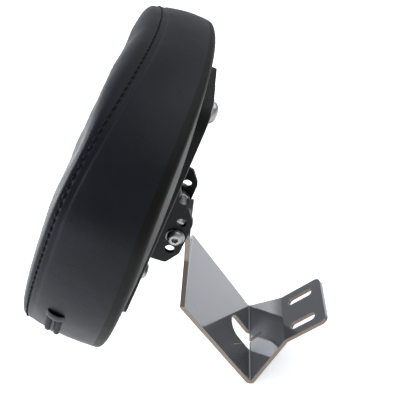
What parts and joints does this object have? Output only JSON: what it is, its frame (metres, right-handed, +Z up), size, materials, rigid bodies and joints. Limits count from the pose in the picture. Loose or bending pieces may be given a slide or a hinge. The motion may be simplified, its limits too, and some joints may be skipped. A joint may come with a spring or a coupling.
{
  "type": "backrest pad on bracket",
  "caption": "Padded black backrest on a tilting hinge and a bent, polished steel bracket with a slotted mounting tongue.",
  "frame": {"origin": "on the outer face of the bracket's slotted tongue, midway between the two slots", "axes": "+X sideways, +Y rearward, +Z up; the front of the pad faces -Y, leaning back 21 degrees"},
  "size_m": [0.2322, 0.1975, 0.2553],
  "materials": {
    "polished_steel": "mirror-polished stainless plate",
    "plain_steel": "turned steel",
    "zinc_steel": "zinc-plated fastener",
    "black_metal": "satin black powder coat",
    "black_screws": "black oxide",
    "black_plastic": "fine-grained black plastic",
    "nylon": "natural nylon",
    "plywood": "moulded birch plywood",
    "foam": "moulded polyurethane foam",
    "black_leather": "smooth grained black leatherette",
    "black_lining": "black woven lining",
    "black_zip": "black coil zip and tape"
  },
  "bodies": {
    "bracket": {"mounting_bracket": "polished_steel", "pivot_sleeve": "plain_steel", "sleeve_welds": "plain_steel", "left_bush": "nylon", "right_bush": "nylon"},
    "pad": {"left_side_spacer": "plain_steel", "right_side_spacer": "plain_steel", "bolt_head_washer": "zinc_steel", "nut_washer": "zinc_steel", "pivot_bolt": "zinc_steel", "lock_nut": "zinc_steel", "lock_nut_insert": "nylon", "hinge_channel": "black_metal", "back_plate": "polished_steel", "pad_screw_washers": "zinc_steel", "pad_screws": "zinc_steel", "channel_screws": "black_screws", "spacer_board": "black_plastic", "rear_cover": "black_lining", "base_board": "plywood", "tee_nuts": "zinc_steel", "foam_core": "foam", "foam_topper": "foam", "front_cover": "black_leather", "side_band": "black_leather", "cover_zip": "black_zip", "cover_staples": "zinc_steel"}
  },
  "joints": [
    {"name": "pad_tilt", "type": "hinge", "parent": "bracket", "child": "pad", "pos_m": [0, -0.09157, 0.08789], "axis": [1, 0, 0], "range_deg": [-70, 29]}
  ]
}
